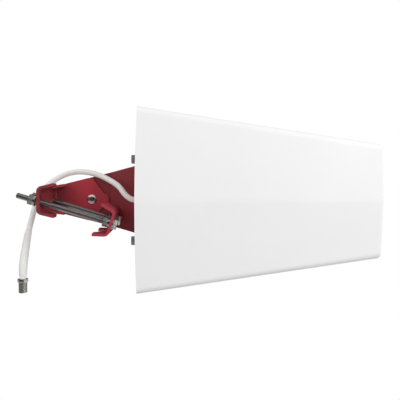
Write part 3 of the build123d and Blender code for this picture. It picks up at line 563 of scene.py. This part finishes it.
clamp_bolts = new_piece("clamp_bolt_pair", clamp_bolt_pair)
clamp_bolts.data.materials.append(zinc_steel)
clamp_bolts.data.materials.append(head_steel)
for polygon in clamp_bolts.data.polygons:
    if (polygon.center - WEB).dot(ROD_LINE) > BOLT_SEAT - 0.0001:
        polygon.material_index = 1
inner_nuts = new_piece("inner_nut_pair", nut_pair(INNER_NUT_START))
outer_nuts = new_piece("outer_nut_pair", nut_pair(OUTER_NUT_START))
wear(inner_nuts, nut_steel)
wear(outer_nuts, nut_steel)
for piece, body, node in (
    (clamp_bolts, "clamp", "clamp_bolts"),
    (inner_nuts, "clamp", "inner_nuts"),
    (outer_nuts, "clamp swing", "outer_nuts"),
):
    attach(piece, body)
    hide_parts(node)
wear("inner_lock_washers", washer_steel)
wear("outer_lock_washers", washer_steel)
wear("pivot_nut", zinc_steel)
wear("flange_bolts", nut_steel)
print("faces of the bolts:", len(clamp_bolts.data.polygons))
print("faces of the inner nuts:", len(inner_nuts.data.polygons))

# %% [markdown]
# ## Pivot screw
# The pivot is a pan-head screw with a cross recess. The head is a spun dome, and a tapered cross is
# cut out of it with a Boolean, because the recess has to be a true hollow whose walls catch light.

# %% Model the pivot screw
PIVOT = Vector((0.0139, 0.039, 0.0))
HEAD_RADIUS = 0.00575
PAN_HEIGHT = 0.0022
DOME_DROP = 0.62
DOME_POWER = 3.2
UNDERSIDE_SHARE = 0.985
RECESS_SIZE = (0.0068, 0.00155, 0.0022)
RECESS_TAPER = (0.45, 0.6, 1.0)
RECESS_SINK = 0.0003
SHANK_FROM = -0.0153
SHANK_TO = 0.0002


def pan_head(shape):
    """Domed head, drawn up the Z axis with its top up."""
    outline = [(0.0, PAN_HEIGHT)]
    for share in (0.2, 0.4, 0.6, 0.75, 0.87, 0.95, 1.0):
        height = PAN_HEIGHT * (1.0 - DOME_DROP * share**DOME_POWER)
        outline.append((HEAD_RADIUS * share, height))
    outline += [(HEAD_RADIUS, 0.0001), (HEAD_RADIUS * UNDERSIDE_SHARE, 0.0), (0.0, 0.0)]
    verts = [shape.verts.new((radius, 0.0, height)) for radius, height in outline]
    spin_line(shape, verts, 48)
    bmesh.ops.remove_doubles(shape, verts=shape.verts, dist=1e-6)
    bmesh.ops.recalc_face_normals(shape, faces=shape.faces)


def cross_cutter(shape):
    """Two tapered blades that cross at right angles."""
    for angle in (pi / 4, 3 * pi / 4):
        blade = bmesh.ops.create_cube(shape, size=1.0)["verts"]
        bmesh.ops.scale(shape, verts=blade, vec=RECESS_SIZE)
        deep = [vert for vert in blade if vert.co.z < 0]
        bmesh.ops.scale(shape, verts=deep, vec=RECESS_TAPER)
        bmesh.ops.translate(shape, verts=blade, vec=(0, 0, PAN_HEIGHT - RECESS_SINK))
        quarter = Matrix.Rotation(angle, 3, "Z")
        bmesh.ops.rotate(shape, verts=blade, cent=(0, 0, 0), matrix=quarter)
    bmesh.ops.recalc_face_normals(shape, faces=shape.faces)


head = new_piece("head blank", pan_head)
cutter = new_piece("cross cutter", cross_cutter)
cut = head.modifiers.new("recess", "BOOLEAN")
cut.operation = "DIFFERENCE"
cut.solver = "EXACT"
cut.use_self = True
cut.object = cutter
bpy.context.view_layer.update()
evaluated = head.evaluated_get(bpy.context.evaluated_depsgraph_get())
cut_mesh = bpy.data.meshes.new_from_object(evaluated)
bpy.data.objects.remove(head)
bpy.data.objects.remove(cutter)


def pivot_shape(shape):
    """Head with its recess and the threaded shank behind it."""
    shape.from_mesh(cut_mesh)
    place = standing(PIVOT, (0, -1, 0))
    bmesh.ops.transform(shape, matrix=place, verts=shape.verts)
    thread(shape, ROD_RADIUS, ROD_PITCH, THREAD_DEPTH, SHANK_FROM, SHANK_TO, place)


pivot_screw = new_piece("pan_head_pivot_screw", pivot_shape, 30.0)
wear(pivot_screw, pivot_steel)
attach(pivot_screw, "pole bracket")
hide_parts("pivot_screw")
print("pivot screw:", len(pivot_screw.data.polygons), "faces")

# %% [markdown]
# ## Array inside the housing
# Nobody sees the array while the housing is whole, but a section through the model does, so the
# booms, rods, spacers and feed get their own plain finishes too.

# %% Finish the array
drawn_aluminium = finish(
    "drawn aluminium",
    "#C9CCCF",
    "#B6B9BC",
    roughness=(0.25, 0.4),
    metallic=1.0,
    grain_mm=0.3,
    grain_height_mm=0.005,
    cloud_mm=6.0,
    stretch=(0.2, 1.0, 1.0),
)
holder_plastic = finish(
    "black moulded holder", "#2A2A2C", "#323234", roughness=(0.45, 0.6), grain_mm=0.5
)
board_laminate = finish(
    "green board laminate", "#1E5A34", "#2A6A3E", roughness=(0.3, 0.45), grain_mm=0.9
)
feed_jacket = finish(
    "brown feed jacket", "#5A3A26", "#4C3020", roughness=(0.35, 0.5), grain_mm=0.5
)
insert_brass = finish(
    "turned brass", "#C8A45A", "#B08D48", roughness=(0.25, 0.4), metallic=1.0, grain_mm=0.3
)
for name in ("boom_near", "boom_far", "elements_near", "elements_far", "shorting_bar"):
    wear(name, drawn_aluminium)
for name in ("boom_holder", "mid_spacer", "front_spacer"):
    wear(name, holder_plastic)
wear("feed_board", board_laminate)
wear("feed_coax", feed_jacket)
wear("threaded_inserts", insert_brass)
wear("socket_contact", insert_brass)
print("array finished")

# %% [markdown]
# ## Cable
# The tail is a satellite-grade coaxial cable, 6.9 mm thick and stiff enough to keep its bow. A
# free cable is one smooth curve, so it is a NURBS spline whose control points are the cable's
# route: out of the grommet, over the arm's top edge, behind the fixed jaw, and down to the socket.
# Its first turn keeps clear of the clamp jaw, which can swing up to level beside it.

# %% Draw the cable
CABLE_RADIUS = 0.00345
CABLE_ROUTE = [
    (0.076, 0.0, 0.0),
    (0.068, 0.0, 0.0),
    (0.0618, 0.0010, 0.0032),
    (0.0566, 0.0032, 0.0083),
    (0.0522, 0.0068, 0.0146),
    (0.0458, 0.0130, 0.0199),
    (0.0364, 0.0218, 0.0250),
    (0.0260, 0.0315, 0.0298),
    (0.0140, 0.0430, 0.0335),
    (0.0015, 0.0505, 0.0354),
    (-0.0105, 0.0550, 0.0354),
    (-0.0260, 0.0578, 0.0312),
    (-0.0415, 0.0575, 0.0213),
    (-0.0520, 0.0545, 0.0090),
    (-0.0572, 0.0495, -0.0035),
    (-0.0592, 0.0440, -0.0150),
    (-0.0614, 0.0400, -0.0278),
    (-0.0629, 0.0335, -0.0416),
    (-0.0634, 0.0250, -0.0552),
    (-0.0629, 0.0155, -0.0684),
    (-0.0620, 0.0090, -0.0810),
    (-0.0620, 0.0080, -0.0945),
]


def smooth_curve(name, points, radius):
    """Curve object with one NURBS spline through a route, as thick as the radius."""
    data = bpy.data.curves.new(name, "CURVE")
    data.dimensions = "3D"
    data.bevel_depth = radius
    data.bevel_resolution = 8
    data.use_fill_caps = True
    data.resolution_u = 8
    spline = data.splines.new("NURBS")
    spline.points.add(len(points) - 1)
    for control, point in zip(spline.points, points):
        control.co = (*point, 1.0)
    spline.order_u = 3
    spline.use_endpoint_u = True
    return add_object(name, data)


cable = smooth_curve("coax_cable_jacket", CABLE_ROUTE, CABLE_RADIUS)
cable_plastic = finish(
    "white cable jacket",
    "#F8F7F4",
    "#F1EFEB",
    roughness=(0.32, 0.44),
    grain_mm=0.5,
    grain_height_mm=0.01,
    cloud_mm=25.0,
)
cable.data.materials.append(cable_plastic)
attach(cable, "antenna")
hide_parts("coax_cable")
print("cable control points:", len(CABLE_ROUTE))

# %% [markdown]
# ## Heat-shrink sleeve
# A white sleeve is shrunk over the cable's last stretch, down to the socket. It follows the same
# smooth line, so its centre line is read back from the cable's spline, and rings are bridged
# along it. It swells over the crimped ferrule above the socket.

# %% Read the cable's own line
shade_share_and_bare_line = smooth_curve("bare line", CABLE_ROUTE, 0.0)
line_mesh = bpy.data.meshes.new_from_object(shade_share_and_bare_line)
line_points = [vertex.co.copy() for vertex in line_mesh.vertices]
bpy.data.objects.remove(shade_share_and_bare_line)
line_length = sum((b - a).length for a, b in zip(line_points, line_points[1:]))
print("cable line:", len(line_points), "points,", round(line_length * MM_PER_M, 1), "mm")

# %% Shrink a sleeve on it
SLEEVE_TOP = -0.0385
SLEEVE_GAP = 0.00005
SLEEVE_UNEVENNESS = 0.00004
SLEEVE_RIPPLE = 2.1
RIM_WALLS = [0.00008, 0.0003, 0.0005, 0.0006, 0.00065]
FERRULE_TOP = -0.060
FERRULE_TAPER = 0.022
FERRULE_SWELL = 0.0007


def tube_along(shape, points, outer_radii, inner_radius, segments=28):
    """Thick tube whose rings follow points, each with its own outer radius."""

    def ring_at(point, heading, radius):
        place = standing(point, heading.normalized())
        ring = bmesh.ops.create_circle(shape, segments=segments, radius=radius, matrix=place)
        return ring["verts"]

    rings = []
    last = len(points) - 1
    for index, point in enumerate(points):
        heading = points[min(index + 1, last)] - points[max(index - 1, 0)]
        rings.append(ring_at(point, heading, outer_radii[index]))
    rings.append(ring_at(points[-1], points[-1] - points[-2], inner_radius))
    rings.append(ring_at(points[0], points[1] - points[0], inner_radius))
    for first, second in zip(rings, rings[1:]):
        ends = [
            edge
            for edge in shape.edges
            if set(edge.verts) <= set(first) or set(edge.verts) <= set(second)
        ]
        bmesh.ops.bridge_loops(shape, edges=ends)
    bmesh.ops.recalc_face_normals(shape, faces=shape.faces)


sleeve_line = [point for point in line_points if point.z < SLEEVE_TOP and point.x < 0][:-1]


def shrink_sleeve(shape):
    """Sleeve with thin, drawn-in ends and a faint unevenness where it shrank."""
    radii = []
    for index, point in enumerate(sleeve_line):
        from_end = min(index, len(sleeve_line) - 1 - index)
        wall = RIM_WALLS[min(from_end, len(RIM_WALLS) - 1)]
        crimp = min(max((FERRULE_TOP - point.z) / FERRULE_TAPER, 0.0), 1.0)
        swell = FERRULE_SWELL * crimp * crimp * (3 - 2 * crimp)
        ripple = SLEEVE_UNEVENNESS * sin(index * SLEEVE_RIPPLE) * (from_end > 3)
        radii.append(CABLE_RADIUS + SLEEVE_GAP + wall + swell + ripple)
    tube_along(shape, sleeve_line, radii, CABLE_RADIUS + SLEEVE_GAP)


sleeve = new_piece("shrunk_sleeve", shrink_sleeve, 60.0)
sleeve_plastic = finish(
    "shrunk white sleeve",
    "#F2F2F0",
    "#E6E6E3",
    roughness=(0.42, 0.55),
    grain_mm=0.7,
    grain_height_mm=0.03,
    cloud_mm=9.0,
)
wear(sleeve, sleeve_plastic)
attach(sleeve, "antenna")
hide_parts("heat_shrink_sleeve")
print("sleeve rings:", len(sleeve_line))

# %% [markdown]
# ## Socket
# The cable ends in a screw-type coaxial socket of nickel plated brass: a hexagon collar, and below
# it a barrel with 32 threads to the inch, 0.79 mm apart. A white insulator fills its mouth round a
# spring contact. Barrel, collar and bore are one turned piece, so they are modelled as one.

# %% Model the socket
SOCKET_AXIS = Vector((-0.062, 0.008, 0.0))
COLLAR_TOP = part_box("socket_body")[1][2]
SOCKET_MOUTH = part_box("socket_body")[0][2]
COLLAR_FLATS = 0.011
COLLAR_HEIGHT = 0.0041
COLLAR_SOFT = 0.0003
BARREL_RADIUS = 0.00475
BARREL_CORE_RADIUS = BARREL_RADIUS - 0.00045
BORE_RADIUS = 0.00375
BORE_DEPTH = 0.0132
MOUTH_CHAMFER = 0.0003
SOCKET_PITCH = 0.00079
SOCKET_THREAD_DEPTH = 0.00036
THREAD_START = SOCKET_MOUTH + 0.0005


def socket_shape(shape):
    """Hexagon collar, threaded barrel and a plain bore open at the mouth."""
    collar_start = COLLAR_TOP - COLLAR_HEIGHT
    upright = Matrix.Translation(SOCKET_AXIS)
    hexagon(shape, COLLAR_FLATS, collar_start, COLLAR_TOP, upright, soft=COLLAR_SOFT)
    before = set(shape.verts)
    outline = [
        (BORE_RADIUS, SOCKET_MOUTH + BORE_DEPTH),
        (BORE_RADIUS, SOCKET_MOUTH + MOUTH_CHAMFER),
        (BORE_RADIUS + MOUTH_CHAMFER, SOCKET_MOUTH),
        (BARREL_RADIUS - 0.0006, SOCKET_MOUTH),
        (BARREL_CORE_RADIUS, THREAD_START),
        (BARREL_CORE_RADIUS, collar_start + 0.0002),
    ]
    verts = [shape.verts.new((radius, 0.0, height)) for radius, height in outline]
    spin_line(shape, verts, 40)
    set_down(shape, before, upright)
    thread(
        shape,
        BARREL_RADIUS,
        SOCKET_PITCH,
        SOCKET_THREAD_DEPTH,
        THREAD_START,
        collar_start + 0.0001,
        upright,
        steps=40,
        sleeve=True,
    )


socket = new_piece("threaded_socket", socket_shape)
socket_nickel = finish(
    "nickel plated brass",
    "#CFCBC5",
    "#A39E98",
    roughness=(0.28, 0.42),
    metallic=1.0,
    grain_mm=0.25,
    grain_height_mm=0.003,
    cloud_mm=3.0,
)
insulator_plastic = finish(
    "white insulator", "#E9E9E6", "#DEDEDA", roughness=(0.4, 0.5), grain_mm=0.6
)
wear(socket, socket_nickel)
wear("socket_insulator", insulator_plastic)
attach(socket, "antenna")
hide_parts("socket_body")
print("socket:", len(socket.data.polygons), "faces")

# %% [markdown]
# ## Light and floor
# The photograph is a studio cut-out: white all round, with a large soft light on the right and a
# little above, and much light from the white room. The floor is far below, so its shadow stays out
# of the frame. Floor and room look white to the camera and to the metal without adding light.

# %% Build the stage
WHITE = colour("#FFFFFF")
ROOM_STRENGTH = 0.62
FLOOR_HEIGHT = -0.62
FLOOR_REACH = 6.0


def area_light(name, place, aim, size, power):
    """Square soft light at place, aimed at a point."""
    data = bpy.data.lights.new(name, "AREA")
    data.shape = "SQUARE"
    data.size = size
    data.energy = power
    light = add_object(name, data)
    heading = Vector(aim) - Vector(place)
    light.rotation_euler = heading.to_track_quat("-Z", "Y").to_euler()
    light.location = place
    return light


area_light("key", place=(1.08, -0.9, 0.54), aim=(0.16, 0.0, 0.0), size=0.6, power=9.1)
fill = area_light("fill", place=(-0.5, -0.62, 0.3), aim=(0.0, 0.0, 0.0), size=0.5, power=1.5)
fill.visible_glossy = False

# Dark cloths hang behind the camera, on the left and behind the object. Only reflections see them,
# as in a photographer's tent: they keep the paint deep, draw dark bands between the metal's bright
# edges, and grey the edges of the housing that turn away.
cloth_material = bpy.data.materials.new("black cloth")
cloth_material.use_nodes = True
cloth_shader = cloth_material.node_tree.nodes["Principled BSDF"]
cloth_shader.inputs["Base Color"].default_value = colour("#0A0A0A")
cloth_shader.inputs["Roughness"].default_value = 1.0


def flat_grid(name, segments, size, matrix):
    """Mesh of a flat square grid, moved by a matrix."""
    mesh = bpy.data.meshes.new(name)
    shape = bmesh.new()
    bmesh.ops.create_grid(
        shape, x_segments=segments, y_segments=segments, size=size, matrix=matrix
    )
    shape.to_mesh(mesh)
    shape.free()
    return mesh


def dark_cloth(name, place, axis, half_width, half_height):
    """Upright black sheet that only reflections see."""
    upright = Matrix.Rotation(radians(90), 4, axis)
    sides = (half_width, half_height) if axis == "X" else (half_height, half_width)
    stretched = Matrix.Diagonal((*sides, 1.0, 1.0))
    mesh = flat_grid(name, 2, 1.0, Matrix.Translation(place) @ upright @ stretched)
    cloth = add_object(name, mesh)
    cloth.visible_camera = False
    cloth.visible_diffuse = False
    cloth.visible_shadow = False
    cloth.visible_transmission = False
    mesh.materials.append(cloth_material)


for name, place, axis, half_width, half_height in (
    ("dark cloth behind the camera", (-0.1, -1.15, -0.02), "X", 1.1, 0.62),
    ("dark cloth on the left", (-1.2, -0.45, -0.1), "Y", 0.7, 0.5),
    ("dark cloth behind the object", (0.15, 1.3, 0.25), "X", 1.7, 1.3),
):
    dark_cloth(name, place, axis, half_width, half_height)


def white_rays(tree):
    """Socket that is 1 for camera, glossy and transmission rays, which see plain white."""
    ray = add_node(tree, "ShaderNodeLightPath").outputs
    pair = {0: ray["Is Camera Ray"], 1: ray["Is Glossy Ray"]}
    mirrored = add_node(tree, "ShaderNodeMath", pair, operation="MAXIMUM")
    pair = {0: mirrored.outputs[0], 1: ray["Is Transmission Ray"]}
    return add_node(tree, "ShaderNodeMath", pair, operation="MAXIMUM").outputs[0]


world = bpy.data.worlds.new("white room")
bpy.context.scene.world = world
world.use_nodes = True
world_tree = world.node_tree
world_tree.nodes.clear()
seen = white_rays(world_tree)
dim = {"Color": WHITE, "Strength": ROOM_STRENGTH}
room = add_node(world_tree, "ShaderNodeBackground", dim)
white = add_node(world_tree, "ShaderNodeBackground", {"Color": WHITE, "Strength": 1.0})
sides = {0: seen, 1: room.outputs[0], 2: white.outputs[0]}
choice = add_node(world_tree, "ShaderNodeMixShader", sides)
add_node(world_tree, "ShaderNodeOutputWorld", {"Surface": choice.outputs[0]})

floor_mesh = flat_grid("floor", 4, FLOOR_REACH, Matrix.Translation((0, 0, FLOOR_HEIGHT)))
floor = add_object("floor", floor_mesh)

floor_material = bpy.data.materials.new("white floor")
floor_material.use_nodes = True
floor_tree = floor_material.node_tree
floor_shader = floor_tree.nodes["Principled BSDF"]
floor_shader.inputs["Base Color"].default_value = colour("#CCCCCC")
floor_shader.inputs["Roughness"].default_value = 0.9
floor_glow = add_node(floor_tree, "ShaderNodeEmission", {"Color": WHITE, "Strength": 1.0})
sides = {0: white_rays(floor_tree), 1: floor_shader.outputs[0], 2: floor_glow.outputs[0]}
floor_mix = add_node(floor_tree, "ShaderNodeMixShader", sides)
floor_tree.links.new(
    floor_mix.outputs[0], floor_tree.nodes["Material Output"].inputs["Surface"]
)
floor_mesh.materials.append(floor_material)
bpy.context.scene.view_settings.view_transform = "Standard"
print("stage built")
